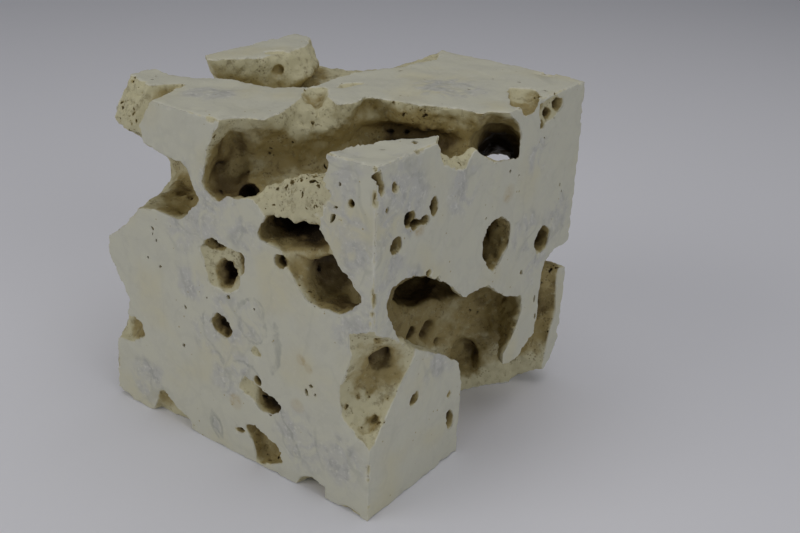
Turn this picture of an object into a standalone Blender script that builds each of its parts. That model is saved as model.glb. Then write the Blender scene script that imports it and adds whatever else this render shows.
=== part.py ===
"""A block of shell limestone: a sawn cube of pale stone, eaten through by natural hollows.

The stone is one solid. Its six faces are sawn flat, and what is left between them is whatever
the hollows spare: burrows, moulds of dissolved shells, and broken edges.

Every place below is in millimetres from the bottom corner at the left end of the front face:
x runs right along the front face, y runs back, z runs up. The finished block stands on z = 0
with its origin under its middle.
"""

import math

import bmesh
import bpy
from mathutils import Euler, Vector, noise

MM = 0.001
SIDE = 200.0                # edge of the sawn cube
PAST = 9.0                  # how far a cutter stands out of a sawn face

GRAIN = 2.4                 # finest step of the hollows' walls
SMOOTHING = 6               # passes that take the steps off the walls
LUMP_HEIGHT = 3.0           # uneven walls: how far they wander
LUMP_SIZE = 21.0            # and how long the lumps are
LUMP_FREE = 11.0            # depth under a sawn face where the lumps reach full height
LUMP_LEAST = 0.12           # share of the lumps that is left right at the sawn face
WALL_TRIANGLES = 2400       # budget for the walls of the large hollows

CURVE_STEPS = 3             # points added to a rounded outline for each one given
BURROW_SIDES = 16           # sides of the round passage
BURROW_STEPS = 5            # rings between two of its given points
HOLLOW_ROUNDS = 3           # fineness of a large egg-shaped hollow
PIT_ROUNDS = 1              # and of a small one
HOLE_SIDES = 8              # sides of a small hole
HOLE_TAPER = ((-0.2, 1.0), (0.0, 1.0), (0.7, 0.85), (1.0, 0.4))    # share of depth, width
BOWL_TURNS = (18, 36, 54, 68, 78)   # degrees round a bowl's wall, from its rim to its floor
FLOOR_DROP = 4.0            # how far a terraced hollow is rounded off below its last level
FLOOR_SIZE = 0.6            # and what is left of its outline there

STONE = (0.66, 0.62, 0.50, 1.0)
STONE_ROUGHNESS = 0.62


def place(x, y, z):
    """Millimetres from the block's corner, as metres from the middle of its base."""
    half = SIDE / 2
    return Vector(((x - half) * MM, (y - half) * MM, z * MM))


# How a point (u, v) on each sawn face, at a depth under it, is placed.
FACES = {
    "front": lambda u, v, depth: place(u, depth, v),
    "right": lambda u, v, depth: place(SIDE - depth, u, v),
    "top": lambda u, v, depth: place(u, v, SIDE - depth),
    "left": lambda u, v, depth: place(depth, u, v),
    "back": lambda u, v, depth: place(u, SIDE - depth, v),
    "base": lambda u, v, depth: place(u, v, depth),
}

hollows = []                # shapes that run together in one skin
holes = []                  # small clean holes, cut after it


def keep_cutter(bm, group):
    """Store a closed shape as one more to be cut."""
    bmesh.ops.recalc_face_normals(bm, faces=bm.faces)
    mesh = bpy.data.meshes.new("hollow")
    bm.to_mesh(mesh)
    bm.free()
    group.append(mesh)


def between(a, b, c, d, t):
    """The spot at share t of the way from b to c, on a smooth curve through all four."""
    bend = 2 * b + (c - a) * t
    bend += (2 * a - 5 * b + 4 * c - d) * t ** 2
    bend += (3 * b - a - 3 * c + d) * t ** 3
    return bend / 2


def rounded(points):
    """A closed smooth curve through the points of an outline."""
    count = len(points)
    curve = []
    for i in range(count):
        near = [Vector(points[(i + k) % count]) for k in (-1, 0, 1, 2)]
        for step in range(CURVE_STEPS):
            curve.append(between(*near, step / CURVE_STEPS))
    return curve


def loft(rings, group=hollows):
    """A closed solid through rings of equally many points."""
    bm = bmesh.new()
    loops = [[bm.verts.new(point) for point in ring] for ring in rings]
    count = len(loops[0])
    for near, far in zip(loops, loops[1:]):
        for i in range(count):
            j = (i + 1) % count
            bm.faces.new((near[i], near[j], far[j], far[i]))
    bm.faces.new(loops[0])
    bm.faces.new(loops[-1])
    bmesh.ops.triangulate(bm, faces=[face for face in bm.faces if len(face.verts) > 4])
    keep_cutter(bm, group)


def pocket(face, outline, steps, centre=None):
    """A hollow that opens on a sawn face with the given outline.

    Each step is a depth, the outline's size there against the opening, and how far its
    centre has moved along the face.
    """
    curve = rounded(outline)
    middle = Vector(centre) if centre else sum(curve, Vector((0, 0))) / len(curve)
    rings = []
    for depth, size, shift_u, shift_v in [(-PAST, 1.0, 0, 0), (0, 1.0, 0, 0)] + steps:
        moved = [middle + (point - middle) * size + Vector((shift_u, shift_v)) for point in curve]
        rings.append([FACES[face](point.x, point.y, depth) for point in moved])
    loft(rings)


def bowl(face, outline, depth, shift=(0, 0), waist=1.0):
    """A pocket with a rounded bottom; a waist over 1 widens it behind its rim."""
    steps = []
    floor = math.sin(math.radians(BOWL_TURNS[-1]))
    for turn in BOWL_TURNS:
        angle = math.radians(turn)
        size = math.cos(angle) ** 0.8 * (1 + (waist - 1) * math.sin(2 * angle))
        reach = math.sin(angle) / floor
        steps.append((depth * reach, size, shift[0] * reach, shift[1] * reach))
    pocket(face, outline, steps)


def egg(centre, radii, turn, rounds, group):
    """A closed egg shape, turned by degrees about x, y and z."""
    bm = bmesh.new()
    bmesh.ops.create_icosphere(bm, subdivisions=rounds, radius=1.0)
    spin = Euler([math.radians(angle) for angle in turn]).to_matrix()
    middle = place(*centre)
    for vert in bm.verts:
        stretched = Vector([vert.co[i] * radii[i] * MM for i in range(3)])
        vert.co = middle + spin @ stretched
    keep_cutter(bm, group)


def hollow(centre, radii, turn=(0, 0, 0)):
    """A large egg-shaped hollow, turned by degrees about x, y and z."""
    egg(centre, radii, turn, HOLLOW_ROUNDS, hollows)


def hole(face, u, v, width, height, depth, turn=0):
    """A small round-ended hole in a sawn face, turned by degrees in it."""
    spin = math.radians(turn)
    rings = []
    for share, size in HOLE_TAPER:
        ring = []
        for i in range(HOLE_SIDES):
            angle = math.tau * i / HOLE_SIDES
            across = math.cos(angle) * width / 2 * size
            along = math.sin(angle) * height / 2 * size
            du = across * math.cos(spin) - along * math.sin(spin)
            dv = across * math.sin(spin) + along * math.cos(spin)
            ring.append(FACES[face](u + du, v + dv, share * depth))
        rings.append(ring)
    loft(rings, holes)


def pit(centre, radii, turn=(0, 0, 0)):
    """A small clean hollow in the wall of a large one, turned by degrees about x, y and z."""
    egg(centre, radii, turn, PIT_ROUNDS, holes)


def burrow(points, radii):
    """A round passage along a smooth path, wider or narrower as it goes."""
    ends = [points[0]] + list(points) + [points[-1]]
    widths = [radii[0]] + list(radii) + [radii[-1]]
    rings = []
    for i in range(len(points) - 1):
        near = [Vector(ends[i + k]) for k in range(4)]
        for step in range(BURROW_STEPS):
            t = step / BURROW_STEPS
            radius = widths[i + 1] + (widths[i + 2] - widths[i + 1]) * t
            rings.append((between(*near, t), radius))
    rings.append((Vector(points[-1]), radii[-1]))
    loops = []
    for i, (spot, radius) in enumerate(rings):
        ahead = rings[min(i + 1, len(rings) - 1)][0] - rings[max(i - 1, 0)][0]
        side = ahead.cross(Vector((0, 0, 1))).normalized()
        above = side.cross(ahead).normalized()
        ring = []
        for k in range(BURROW_SIDES):
            angle = math.tau * k / BURROW_SIDES
            point = spot + (side * math.cos(angle) + above * math.sin(angle)) * radius
            ring.append(place(*point))
        loops.append(ring)
    loft(loops)


def terraces(levels):
    """A hollow given by its outline in plan at falling heights, rounded off at the bottom."""
    rings = [[place(u, v, height) for u, v in outline] for height, outline in levels]
    drop = place(0, 0, 0) - place(0, 0, FLOOR_DROP)
    middle = sum(rings[-1], Vector((0, 0, 0))) / len(rings[-1])
    rings.append([middle + (point - middle) * FLOOR_SIZE + drop for point in rings[-1]])
    loft(rings)


def left_notch():
    """The bite through the left end of the front face, open to the left side."""
    outline = [(-14, 96), (0, 106), (12, 115), (20, 121), (29, 132), (39, 137), (50, 137.5),
               (62, 135), (73, 141), (79, 150), (80, 160), (74, 168), (61, 171.5), (50, 173),
               (36, 174.5), (14, 176), (-14, 176)]
    steps = [(12, 0.93, 0, -1), (24, 0.78, 0, -1), (36, 0.60, 0, -1), (46, 0.38, 0, -1),
             (53, 0.14, 0, 0)]
    pocket("front", outline, steps, centre=(-2, 133))


def broken_corner():
    """The upper left corner, broken off in a wedge that runs in beside the top slab."""
    levels = [
        (208, [(56, -12), (50, 0), (43, 20), (40, 36), (33, 29), (25, 21), (12, 25), (-12, 30)]),
        (200, [(55, -12), (49, 0), (42, 22), (39, 36), (33, 29), (25, 21), (12, 25), (-12, 30)]),
        (190, [(48, -12), (41, 0), (36, 13), (33, 25), (28, 20), (20, 14), (10, 18), (-12, 24)]),
        (182, [(43, -12), (37, 0), (33, 6), (29, 14), (22, 11), (16, 9), (8, 12), (-12, 15)]),
        (172, [(42, -12), (38, 0), (32, 3), (26, 7), (20, 7), (14, 7), (6, 9), (-12, 11)]),
        (164, [(30, -12), (27, -4), (22, -2), (16, 1), (12, 1), (8, 1), (2, 3), (-12, 5)]),
    ]
    terraces([(height, outline + [(-12, -12)]) for height, outline in levels])


def upper_hollow():
    """The wide hollow under the top edge, and the trench that runs back from it."""
    rim = [(98, -12), (99, 3), (102, 10), (110, 12), (116, 20), (113, 30), (107, 40), (103, 53),
           (100, 64), (110, 72), (124, 62), (130, 70), (129, 82), (133, 91), (144, 91), (154, 88),
           (176, 105), (187, 101), (198, 95), (204, 86), (199, 77), (193, 68), (191, 54), (184, 42),
           (178, 30), (172, 17), (169, 4), (168, -12)]
    levels = [
        (209, rim),
        (200, rim),
        (191, [(95, -12), (95, 3), (98, 12), (104, 20), (110, 28), (111, 36), (111, 44), (112, 52),
               (113, 60), (118, 63), (126, 65), (130, 76), (134, 90), (144, 94), (154, 92),
               (164, 98), (176, 107), (186, 103), (193, 95), (196, 86), (195, 77), (192, 67),
               (189, 54), (183, 43), (178, 31), (173, 19), (171, 6), (171, -12)]),
        (184, [(89, -12), (90, 4), (93, 14), (98, 24), (105, 33), (111, 42), (116, 50), (119, 58),
               (122, 65), (125, 74), (127, 84), (129, 91), (139, 95), (150, 96), (160, 98),
               (169, 104), (177, 108), (185, 104), (191, 96), (193, 86), (192, 76), (190, 66),
               (186, 54), (181, 43), (177, 32), (172, 20), (168, 7), (164, -12)]),
        (179, [(88, -12), (89, 4), (91, 15), (96, 25), (103, 34), (109, 43), (114, 52), (117, 61),
               (119, 70), (120, 82), (116, 95), (126, 108), (139, 115), (152, 116), (163, 115),
               (172, 113), (179, 109), (185, 103), (189, 95), (190, 86), (189, 76), (186, 66),
               (182, 55), (175, 44), (167, 33), (157, 22), (145, 8), (138, -12)]),
        (171, [(86, -12), (87, 4), (89, 14), (93, 24), (99, 33), (105, 42), (110, 51), (114, 60),
               (116, 70), (117, 83), (118, 97), (128, 109), (140, 115), (151, 116), (161, 115),
               (169, 111), (175, 105), (179, 99), (181, 92), (180, 84), (175, 74), (168, 65),
               (158, 55), (148, 45), (139, 35), (131, 23), (126, 8), (124, -12)]),
        (164, [(86, -12), (88, 4), (90, 12), (93, 20), (97, 28), (101, 36), (105, 44), (110, 53),
               (116, 64), (122, 74), (129, 82), (136, 87), (143, 90), (149, 91), (154, 91),
               (158, 89), (161, 86), (162, 82), (162, 77), (160, 72), (156, 65), (150, 57),
               (143, 49), (136, 40), (129, 31), (124, 20), (119, 8), (117, -12)]),
    ]
    terraces(levels)
    # Its left pocket: a tall trough, a floor that dips to the front rim, a slot and a burrow.
    hollow((90, 16, 175), (8, 11, 17))
    hollow((94, 6, 162.5), (11.5, 12, 8))
    hollow((109, 6, 165), (9, 9, 6.5))
    pit((83, 14.5, 166.5), (11, 5, 3.4), (0, 0, -45))
    pit((102.5, 17, 155.6), (18, 6.6, 7), (0, -21, -45))
    for centre, radius in (((132, 82, 191), 11), ((173, 93, 187), 13)):
        hollow(centre, (radius, radius, radius))
    # The rough band below the rim, where the sawn face has crumbled away.
    bowl("front", [(121, 162), (126, 170), (135, 178), (150, 182), (166, 183), (174, 180),
                   (171, 173), (168, 166), (157, 162), (143, 159), (129, 157)], 4, shift=(0, 3))


def top_pits():
    """The half-round gully beside the trench and the shallow pits in the top face."""
    hollow((102, 70, 201), (7, 14, 12), (0, 0, 38))
    bowl("top", [(98, 84), (99, 92), (103, 103), (111, 109), (112, 103), (108, 92), (104, 85)], 4)
    bowl("top", [(173, 156), (179, 163), (188, 164), (195, 152), (201, 141), (203, 129),
                 (194, 126), (184, 139)], 10)
    bowl("top", [(168, 190), (169, 197), (176, 206), (184, 198), (181, 190)], 3)


def back_notch():
    """The valley behind the top slab, and the broken dish at the back left of the top."""
    rim = [(-12, 43), (12, 43), (34, 45), (40, 53), (59, 61), (80, 61), (87, 70), (91, 88),
           (91, 105), (92, 120), (99, 139), (106, 158), (109, 176), (98, 195), (94, 214),
           (-14, 214), (-14, 168), (3, 167), (16, 165), (25, 150), (30, 131), (30, 113), (23, 98),
           (7, 77), (-12, 95)]
    levels = [
        (209, rim),
        (200, rim),
        (195, [(-12, 44), (12, 44), (33, 46), (40, 54), (58, 62), (77, 64), (84, 72), (87, 88),
               (87, 104), (88, 122), (93, 140), (98, 160), (98, 176), (91, 194), (90, 214),
               (-14, 214), (-14, 168), (3, 168), (17, 166), (29, 150), (36, 131), (35, 114),
               (24, 100), (9, 80), (-12, 98)]),
        (189, [(-12, 45), (12, 45), (33, 47), (40, 55), (57, 63), (74, 66), (80, 75), (82, 90),
               (81, 105), (79, 122), (80, 140), (82, 158), (81, 174), (79, 192), (82, 214),
               (-14, 214), (-14, 169), (3, 169), (18, 167), (33, 151), (42, 133), (38, 116),
               (26, 102), (11, 84), (-12, 100)]),
        (183, [(-12, 46), (12, 46), (32, 48), (39, 56), (55, 64), (71, 68), (77, 78), (78, 92),
               (74, 105), (68, 118), (64, 134), (62, 152), (62, 170), (64, 190), (66, 214),
               (-14, 214), (-14, 170), (3, 170), (19, 168), (37, 153), (47, 136), (41, 119),
               (28, 105), (13, 88), (-12, 101)]),
        (177, [(-12, 47), (12, 47), (31, 50), (38, 58), (53, 66), (68, 71), (73, 81), (72, 92),
               (67, 102), (60, 112), (54, 120), (51, 124), (48, 127), (46, 129), (44, 130),
               (42, 130), (40, 129), (38, 127), (36, 124), (35, 121), (34, 118), (32, 114),
               (27, 107), (13, 91), (-12, 98)]),
        (170, [(-12, 49), (10, 50), (28, 53), (36, 61), (50, 69), (62, 75), (65, 84), (64, 92),
               (60, 99), (55, 104), (50, 108), (48, 110), (46, 111), (44, 112), (42, 112),
               (40, 112), (38, 111), (36, 110), (34, 109), (33, 107), (31, 105), (29, 103),
               (24, 99), (12, 90), (-12, 90)]),
    ]
    terraces(levels)
    terraces([
        (186, [(-14, 168), (4, 168), (18, 167), (34, 170), (50, 180), (62, 194), (66, 214),
               (-14, 214)]),
        (178, [(-14, 171), (3, 171), (16, 171), (30, 175), (42, 184), (50, 195), (53, 214),
               (-14, 214)]),
        (172, [(-14, 178), (2, 178), (10, 180), (18, 185), (24, 192), (27, 200), (28, 214),
               (-14, 214)]),
    ])
    pit((33, 113, 191), (3.2, 9, 4.5))
    bowl("top", [(20, 114), (18, 121), (24, 127), (30, 121), (27, 114)], 4)


def through_burrow():
    """The straight burrow from the right edge of the top down to the back face."""
    burrow([(222, 66, 202), (200, 104, 190), (172, 152, 158), (144, 199, 129), (136, 213, 121)],
           [13.6, 13.4, 12.2, 11.6, 11.6])
    bowl("right", [(84, 188), (93, 180), (102, 175), (115, 173), (126, 175), (129, 183),
                   (123, 191), (112, 198), (100, 194)], 7, shift=(3, 2))
    bowl("right", [(50, 206), (51, 192), (55, 184), (63, 180), (72, 179), (80, 184), (80, 206)], 5)


def window():
    """The window in the front face: a dark pipe above, a deep bowl below and right of it."""
    pipe = [(124.5, 147), (127, 153.5), (143, 155.5), (155, 158), (166, 160.5), (170, 155),
            (172, 150.5), (165, 147.5), (156, 145.5), (143, 142), (132.5, 140.5), (126, 142)]
    pocket("front", pipe, [(10, 0.97, -3, 0), (24, 0.88, -10, 0), (40, 0.7, -20, -1),
                           (56, 0.5, -28, -3), (68, 0.24, -34, -5)])
    lower = [(153, 135), (162, 139), (171, 144), (177, 144), (184, 138.5), (191, 133), (191.5, 128),
             (185, 121), (177, 117), (167.5, 116), (161, 118), (156, 124)]
    bowl("front", lower, 38, shift=(-9, -3), waist=1.15)
    # The ledge between them and the shallow shelf at the bowl's left, both a little set back.
    bowl("front", [(141, 142), (156, 147), (172, 153), (178, 146), (164, 138), (152, 132), (143, 133)],
         2.5)
    bowl("front", [(143, 138), (154, 139), (160, 122), (164, 115), (152, 120), (146, 128)], 4)
    hole("front", 138.7, 133.7, 8, 8, 12)
    pit((165, 3, 141), (1.8, 5, 1.8))
    pit((164, 6, 137), (2.4, 7, 2.2))


def cave():
    """The cave under the right face: a slot high on the left that widens down to the base."""
    outline = [(10, 124), (16, 133), (26, 134), (37, 131), (49, 126), (60, 120), (71, 110),
               (82, 101.5), (95, 101), (108, 99.5), (118, 90), (130, 83), (147, 79), (147, 68),
               (140, 56), (129, 46), (128, 38), (134, 34), (149, 35), (160, 41), (171, 36),
               (180, 24), (178, 10), (176, -12), (84, -12), (85, 30), (85, 50), (79, 63),
               (66, 73), (50, 82), (38, 90), (26, 101), (14, 113)]
    behind = [(12, 123), (17, 134), (28, 138), (42, 136), (55, 131), (67, 123), (78, 115),
              (90, 108), (103, 105), (115, 101), (127, 93), (139, 86), (151, 77), (152, 66),
              (151, 56), (150, 48), (151, 43), (155, 40), (161, 38), (166, 36), (171, 31),
              (175, 22), (173, 8), (170, -12), (84, -12), (84, 30), (82, 48), (75, 61),
              (61, 73), (47, 83), (36, 92), (26, 102), (16, 113)]
    deeper = [(18, 121), (24, 130), (34, 134), (47, 132), (60, 127), (72, 119), (83, 110),
              (94, 103), (106, 98), (117, 93), (127, 85), (137, 77), (146, 68), (149, 60),
              (151, 52), (152, 45), (153, 40), (154, 35), (155, 30), (155, 24), (154, 16),
              (152, 8), (148, -2), (144, -12), (98, -12), (93, 18), (87, 40), (76, 56),
              (62, 69), (49, 80), (39, 90), (31, 101), (22, 112)]
    rings = []
    for depth, shape in ((-PAST, outline), (0, outline), (3, outline), (15, behind), (31, deeper)):
        rings.append([FACES["right"](u, v, depth) for u, v in shape])
    middle = Vector((80, 82))
    for depth, size in ((43, 0.72), (51, 0.40)):
        shrunk = [middle + (Vector(point) - middle) * size for point in deeper]
        rings.append([FACES["right"](point.x, point.y, depth) for point in shrunk])
    loft(rings)
    # The dark passage under its roof, which runs on behind the lit back wall.
    hollow((134, 121, 84), (38, 22, 17), (0, 0, 126))
    hollow((152, 132, 82), (18, 13, 14))
    hollow((178, 151, 66), (9, 6, 7))
    # Clean pits in the back wall, and the arched recess low in it.
    pit((147, 107, 50), (10, 5.4, 4.6))
    pit((150, 121, 51), (10, 4.2, 5.2))
    pit((150, 119, 45), (10, 4.4, 4.2))
    pit((153, 128, 38), (8, 2.8, 3.2))
    hollow((161, 149, 21), (9, 12, 12))
    hole("right", 47, 130, 6, 4, 9)
    hole("right", 55, 124, 4, 4, 8)


def right_edge():
    """The groove beside the hanging tusk of face, and the cleft through the back edge."""
    groove = [(169, 92), (180, 97), (190, 96), (190, 84), (190, 70), (192, 58), (194, 46),
              (187, 36), (185, 24), (180, 14), (172, -10), (160, -10), (152, 14), (146, 30),
              (154, 39), (165, 43), (168, 54), (167, 68), (169, 80)]
    bowl("right", groove, 17, shift=(-3, 2))
    loft([
        [place(212, 168, 90), place(212, 178, 97), place(212, 214, 98), place(212, 214, 76),
         place(212, 190, 83)],
        [place(196, 168, 90), place(196, 178, 97), place(196, 214, 98), place(196, 214, 75),
         place(196, 188, 82)],
        [place(178, 184, 86), place(178, 188, 92), place(178, 214, 94), place(178, 214, 76),
         place(178, 194, 80)],
        [place(168, 200, 84), place(168, 202, 88), place(168, 214, 88), place(168, 214, 80),
         place(168, 203, 82)],
    ])
    hole("right", 173, 40, 11, 5, 26, turn=-25)
    hole("right", 186, 55, 9, 5, 24, turn=-30)
    foot = [(163, -12), (163, 2), (172, 4), (180, 9), (187, 13), (194, 19), (200, 28), (214, 36),
            (214, -12)]
    rings = []
    for x, size in ((212, 1.0), (198, 1.0), (184, 0.86), (170, 0.62), (158, 0.30)):
        rings.append([place(x, 214 + (y - 214) * size, -12 + (z + 12) * size) for y, z in foot])
    loft(rings)


def front_corner():
    """The shallow yellow hollow scooped out of the front right corner."""
    levels = [
        (114, 197, 198, 4),
        (110, 192, 195, 9),
        (102, 188, 192, 20),
        (92, 186, 187, 33),
        (84, 182, 184, 39),
        (78, 180, 183, 32),
        (73, 179, 184, 24),
        (66, 178, 185, 21),
        (60, 179.5, 187, 16),
        (54, 184, 190.5, 10),
        (48, 194, 195.5, 6),
        (44, 199, 199, 1),
    ]
    rings = []
    for height, front, middle, right in levels:
        ring = [(front, -PAST), (front, 0), ((front + middle) / 2, (SIDE - middle) * 0.55),
                (middle, SIDE - middle), (SIDE - (SIDE - middle) * 0.45, (SIDE - middle + right) / 2),
                (SIDE, right), (SIDE + PAST, right), (SIDE + PAST, -PAST)]
        rings.append([place(u, v, height) for u, v in ring])
    loft(rings)
    bowl("front", [(186, 109), (192, 110), (194, 103), (190, 97), (185, 99)], 5)
    hollow((188, 20, 89), (8, 8, 8))
    pit((192.5, 8, 55), (3.6, 10, 4.6))
    hole("right", 13, 104, 9, 4, 10, turn=-35)
    hole("right", 16, 95, 12, 6, 7, turn=-30)


def left_edge():
    """The worn left edge of the front face and the chips along its foot."""
    stations = [(112, 0), (104, 1), (96, 3), (88, 8), (80, 13), (71, 18), (63, 15), (55, 12),
                (46, 9), (38, 4), (30, 1), (24, 0)]
    rings = []
    for height, reach in stations:
        back = reach * 1.3
        rings.append([place(-12, -12, height), place(reach, -12, height), place(reach, 0, height),
                      place(reach * 0.62, back * 0.45, height), place(0, back + 1, height),
                      place(-12, back + 1, height)])
    loft(rings)
    bowl("front", [(8, 60), (20, 58), (28, 60), (31, 54), (26, 46), (16, 42), (6, 44)], 9,
         shift=(-4, 2))
    bowl("front", [(32, -8), (33, 4), (37, 16), (44, 18), (52, 13), (62, 7), (66, 1), (64, -8)], 7)
    bowl("front", [(-8, -10), (-8, 4), (1, 7), (5, 2), (11, 0), (14, -10)], 4)


def front_pits():
    """The shell moulds and small holes in the front face."""
    bowl("front", [(79, 124), (84, 129), (90, 133), (97, 132), (105, 131), (112, 130), (114, 122),
                   (111, 118), (109, 109), (103, 103), (94, 101), (86, 105), (82, 114)], 5)
    hole("front", 90, 128.5, 14, 8, 22, turn=12)
    hole("front", 97, 112.5, 14, 19, 22, turn=-22)
    hole("front", 111.5, 124, 5, 15, 14)
    bowl("front", [(86, 80), (88, 87), (95, 88.5), (101, 84), (105, 78), (100, 74), (92, 73)], 12)
    bowl("front", [(113, 76), (119, 79), (126, 75), (120, 69), (114, 71)], 4)
    bowl("front", [(118, 43), (121, 51), (130, 51), (138, 48), (137, 42), (128, 37), (121, 38)],
         21)
    bowl("front", [(105, 49), (110, 55), (118, 55), (119, 46), (113, 43), (107, 43)], 5)
    hole("front", 121, 56, 6, 6, 10)
    bowl("front", [(110, 20), (116, 27), (126, 23), (136, 19), (140, 9), (134, 5), (126, 3),
                   (117, 2), (118, 12)], 11)
    for u, v in ((116, 21), (123, 16.5), (129, 11), (133, 16)):
        hole("front", u, v, 5.5, 5, 17, turn=30)
    hole("front", 106, 17, 9, 4, 8, turn=15)
    bowl("front", [(149, 2), (154, 8), (161, 12), (168, 9), (171, 1), (170, -8), (150, -8)], 12)
    hole("front", 185, 178, 5, 5, 9)


def right_pits():
    """The round shell moulds and small holes in the right face."""
    circle = [(111 + 15.3 * math.cos(math.radians(a)), 126 + 15 * math.sin(math.radians(a)))
              for a in range(-60, 241, 30)]
    bowl("right", circle + [(112, 107)], 38, shift=(8, -6))
    disc = [(165 + 9 * math.cos(math.radians(a)), 109 + 9.5 * math.sin(math.radians(a)))
            for a in range(0, 360, 40)]
    bowl("right", disc, 22, shift=(5, -3))
    hole("right", 28, 166, 9, 8.5, 20)
    hole("right", 40, 161, 10, 6, 20, turn=-8)
    hole("right", 33, 161, 6, 6, 8)
    hole("right", 48, 166, 6.5, 11, 20)
    hole("right", 17.5, 155, 9, 9.5, 20)
    hole("right", 2.5, 194, 4.5, 7, 12, turn=20)
    hole("right", 4.5, 188, 4, 9, 12, turn=10)
    hole("right", 15, 186, 3.5, 8, 10, turn=25)
    bowl("right", [(150, 197), (146, 190), (151, 183), (162, 183), (172, 187), (176, 193),
                   (169, 198), (160, 199)], 3)
    hole("right", 170, 192, 10, 7, 18, turn=-10)
    hole("right", 160.5, 188, 8, 7, 16)
    hole("right", 152, 184, 6, 4.5, 10, turn=-20)
    hole("right", 75, 26, 7, 15, 16, turn=12)
    hole("right", 39, 58, 9, 6, 10, turn=30)
    hole("right", 72.5, 44, 5, 4, 7)


def left_face():
    """Hollows in the left side: two deep shell moulds, a shallow one and worn edges."""
    bowl("left", [(85, 119), (84, 131), (92, 139), (99, 150), (110, 153), (119, 147), (122, 138),
                  (131, 133), (134, 123), (126, 114), (114, 116), (105, 108), (94, 109)], 30,
         shift=(6, -4))
    hollow((24, 126, 126), (13, 12, 9))
    bowl("left", [(128, 58), (131, 70), (140, 74), (146, 84), (156, 86), (163, 78), (172, 73),
                  (175, 62), (168, 52), (158, 50), (150, 41), (139, 44), (133, 51)], 22,
         shift=(-4, 3))
    bowl("left", [(52, 44), (57, 55), (66, 58), (72, 50), (83, 49), (86, 40), (79, 31), (69, 33),
                  (62, 26), (54, 32)], 13)
    bowl("left", [(96, -8), (95, 6), (103, 13), (116, 11), (124, 15), (134, 8), (138, -8)], 8)
    hole("left", 172, 120, 10, 15, 18, turn=20)
    hole("left", 156, 146, 8, 7, 12)
    hole("left", 164, 138, 5, 5, 8)
    hole("left", 42, 84, 8, 6, 9)
    hole("left", 30, 66, 4, 5, 6)
    hole("left", 112, 84, 6, 5, 9)
    hole("left", 186, 26, 6, 9, 9)


def back_face():
    """Hollows in the back: one wide and deep, two smaller, and a leaning slot."""
    bowl("back", [(34, 100), (36, 112), (46, 117), (52, 129), (64, 133), (74, 126), (88, 125),
                  (94, 113), (88, 101), (91, 90), (80, 82), (68, 85), (58, 78), (46, 82), (42, 92)],
         34, shift=(5, -4), waist=1.08)
    hollow((50, 170, 97), (13, 14, 11))
    bowl("back", [(88, 34), (92, 46), (101, 50), (106, 60), (119, 61), (127, 53), (138, 50),
                  (141, 37), (133, 28), (122, 29), (112, 21), (99, 22)], 25, shift=(3, 4))
    bowl("back", [(14, 30), (17, 42), (28, 46), (33, 54), (44, 52), (48, 41), (44, 31), (34, 29),
                  (27, 21), (18, 22)], 14)
    bowl("back", [(160, 170), (165, 158), (172, 152), (176, 140), (171, 131), (163, 138),
                  (159, 149), (153, 160)], 13)
    hole("back", 112, 88, 12, 9, 16, turn=25)
    hole("back", 124, 98, 6, 6, 9)
    hole("back", 152, 74, 7, 7, 10)
    hole("back", 24, 148, 10, 7, 13, turn=-15)
    hole("back", 84, 158, 8, 8, 12)
    hole("back", 64, 40, 6, 8, 9)
    hole("back", 178, 44, 7, 11, 12, turn=10)


def base_face():
    """Hollows in the base."""
    bowl("base", [(60, 120), (66, 131), (77, 134), (86, 142), (96, 134), (95, 120), (86, 109),
                  (74, 111), (66, 106)], 16)
    hole("base", 34, 70, 12, 9, 12, turn=30)
    hole("base", 120, 172, 10, 12, 12)
    hole("base", 100, 40, 7, 6, 9)


def joined(meshes, name):
    """One object that holds all the given meshes, never shown."""
    bm = bmesh.new()
    for mesh in meshes:
        bm.from_mesh(mesh)
    whole = bpy.data.meshes.new(name)
    bm.to_mesh(whole)
    bm.free()
    cutter = bpy.data.objects.new(name, whole)
    bpy.context.scene.collection.objects.link(cutter)
    cutter.hide_render = True
    cutter.display_type = "WIRE"
    return cutter


def hollow_skin():
    """All the large hollows as one closed skin, with uneven walls in their depths."""
    rough = joined(hollows, "rough_hollows")
    fuse = rough.modifiers.new("fuse", "REMESH")
    fuse.mode = "VOXEL"
    fuse.voxel_size = GRAIN * MM
    soften = rough.modifiers.new("soften", "SMOOTH")
    soften.factor = 0.5
    soften.iterations = SMOOTHING
    graph = bpy.context.evaluated_depsgraph_get()
    fused = bpy.data.meshes.new_from_object(rough.evaluated_get(graph))
    bpy.data.objects.remove(rough)

    half = SIDE * MM / 2
    normals = [vert.normal.copy() for vert in fused.vertices]
    for vert, normal in zip(fused.vertices, normals):
        spot = vert.co.copy()
        depth = half - max(abs(spot.x), abs(spot.y), abs(spot.z - half))
        share = min(max(depth / (LUMP_FREE * MM), LUMP_LEAST), 1.0)
        swell = noise.fractal(spot / (LUMP_SIZE * MM), 0.9, 2.1, 3)
        vert.co = spot + normal * swell * share * LUMP_HEIGHT * MM
    skin = joined([fused], "hollows")
    thin = skin.modifiers.new("thin", "DECIMATE")
    fused.calc_loop_triangles()
    thin.ratio = min(1.0, WALL_TRIANGLES / len(fused.loop_triangles))
    return skin


def stone():
    """The material of the whole block."""
    material = bpy.data.materials.new("limestone")
    material.use_nodes = True
    shader = material.node_tree.nodes["Principled BSDF"]
    shader.inputs["Base Color"].default_value = STONE
    shader.inputs["Roughness"].default_value = STONE_ROUGHNESS
    return material


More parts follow.
